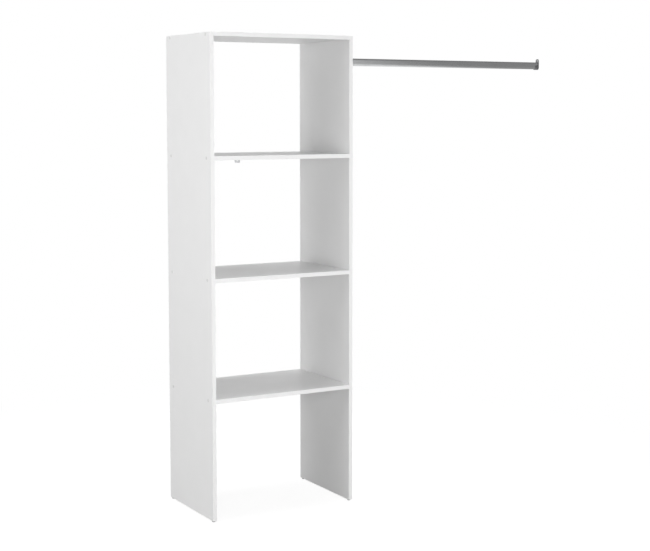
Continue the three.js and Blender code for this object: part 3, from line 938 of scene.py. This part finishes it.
def white_surround(studio):
    """A surround that is seen as white, and lights the object weakly from all round."""
    world = bpy.data.worlds.new("white_surround")
    world.use_nodes = True
    tree = world.node_tree
    tree.nodes.clear()
    light = add_node(tree, "ShaderNodeBackground", {
        "Color": WHITE, "Strength": studio.ambient})
    white = add_node(tree, "ShaderNodeBackground", {"Color": WHITE, "Strength": 1.0})
    both = add_node(tree, "ShaderNodeMixShader", {
        "Fac": seen_or_mirrored(tree), "Shader": light, "Shader_001": white})
    add_node(tree, "ShaderNodeOutputWorld", {"Surface": both})
    return world


def graded_card(name, grade, graded):
    """White to grey card. Its brightness goes from the first grade to the second along X."""
    material, tree = new_material(name)
    place = add_node(tree, "ShaderNodeTexCoord").outputs["Object"]
    along = add_node(tree, "ShaderNodeSeparateXYZ", {"Vector": place}).outputs["X"]
    bright = add_node(tree, "ShaderNodeMapRange", {
        "Value": along, "From Min": graded[0], "From Max": graded[1],
        "To Min": grade[0], "To Max": grade[1]}, interpolation_type="SMOOTHSTEP")
    glow = add_node(tree, "ShaderNodeEmission", {"Color": WHITE, "Strength": bright})
    add_node(tree, "ShaderNodeOutputMaterial", {"Surface": glow})
    return material


def add_card(name, profile, span, grade, graded):
    """Hangs a card that shows only in gloss and metal. Its profile in Y and Z runs along X."""
    bm = bmesh.new()
    rows = [[bm.verts.new((x, y, z)) for y, z in profile] for x in span]
    for k in range(1, len(profile)):
        bm.faces.new((rows[0][k - 1], rows[0][k], rows[1][k], rows[1][k - 1]))
    card = as_object(name, bm)
    card.data.materials.append(graded_card(name, grade, graded))
    for ray in ("camera", "diffuse", "transmission", "volume_scatter", "shadow"):
        setattr(card, f"visible_{ray}", False)


def add_lamp(name, power, place, width):
    """Hangs a square lamp that lights the object and shows in no gloss."""
    light = bpy.data.lights.new(name, "AREA")
    light.shape = "SQUARE"
    light.size = width
    light.energy = power
    lamp = bpy.data.objects.new(name, light)
    lamp.location = place
    aim = Vector(LAMP_TARGET) - Vector(place)
    lamp.rotation_euler = aim.to_track_quat("-Z", "Y").to_euler()
    lamp.visible_glossy = False
    bpy.context.scene.collection.objects.link(lamp)


class WARDROBE_OT_studio(WardrobeOperator):
    """Sets up the floor, the surround, the lamps and the camera"""
    bl_idname = "wardrobe.studio"
    bl_label = "Studio"

    def execute(self, context):
        scene = context.scene
        studio = scene.wardrobe_studio
        column_centre = centre_of("top_panel")
        ground = (column_centre.x, column_centre.y, 0)
        bm = bmesh.new()
        bmesh.ops.create_grid(bm, x_segments=1, y_segments=1, size=FLOOR_REACH)
        floor = as_object("studio_floor", bm)
        floor.data.materials.append(white_paper_sweep(studio, ground))
        scene.world = white_surround(studio)
        for name, profile, span, grade, graded in CARDS:
            add_card(name, profile, span, grade, graded)
        for name, place, width in LAMPS:
            add_lamp(f"{name}_lamp", getattr(studio, f"{name}_power"), place, width)

        lens = bpy.data.cameras.new("camera")
        lens.lens = studio.lens
        lens.shift_y = studio.shift
        camera = bpy.data.objects.new("camera", lens)
        camera.location = studio.camera
        camera.rotation_euler = (math.pi / 2 - studio.pitch, 0, -studio.turn)
        scene.collection.objects.link(camera)
        scene.camera = camera
        scene.view_settings.view_transform = "Standard"
        return {"FINISHED"}


class WARDROBE_PT_column(Panel):
    """Lists the column's operators and settings"""
    bl_label = "Open Wardrobe Column"
    bl_idname = "WARDROBE_PT_column"
    bl_space_type = "VIEW_3D"
    bl_region_type = "UI"
    bl_category = "Wardrobe"

    def draw(self, context):
        for operator in OPERATORS:
            self.layout.operator(operator.bl_idname)
        for group in GROUPS:
            settings = getattr(context.scene, group)
            for name in settings.__annotations__:
                self.layout.prop(settings, name)


OPERATORS = [
    WARDROBE_OT_boards, WARDROBE_OT_edge_bands, WARDROBE_OT_joint_screws,
    WARDROBE_OT_screw_caps, WARDROBE_OT_hanging_rail, WARDROBE_OT_rail_brackets,
    WARDROBE_OT_small_screws, WARDROBE_OT_wall_angle, WARDROBE_OT_glides,
    WARDROBE_OT_studio,
]
GROUPS = {
    "wardrobe_colours": WardrobeColours,
    "wardrobe_sizes": WardrobeSizes,
    "wardrobe_studio": WardrobeStudio,
}


def register():
    """Registers the settings, the operators and the panel."""
    for group, kind in GROUPS.items():
        bpy.utils.register_class(kind)
        setattr(bpy.types.Scene, group, PointerProperty(type=kind))
    for kind in [*OPERATORS, WARDROBE_PT_column]:
        bpy.utils.register_class(kind)


def unregister():
    """Takes the panel, the operators and the settings away again."""
    for kind in reversed([*OPERATORS, WARDROBE_PT_column]):
        bpy.utils.unregister_class(kind)
    for group, kind in GROUPS.items():
        delattr(bpy.types.Scene, group)
        bpy.utils.unregister_class(kind)


def main():
    """Registers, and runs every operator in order."""
    register()
    for operator in OPERATORS:
        family, name = operator.bl_idname.split(".")
        getattr(getattr(bpy.ops, family), name)()


if __name__ == "__main__":
    main()
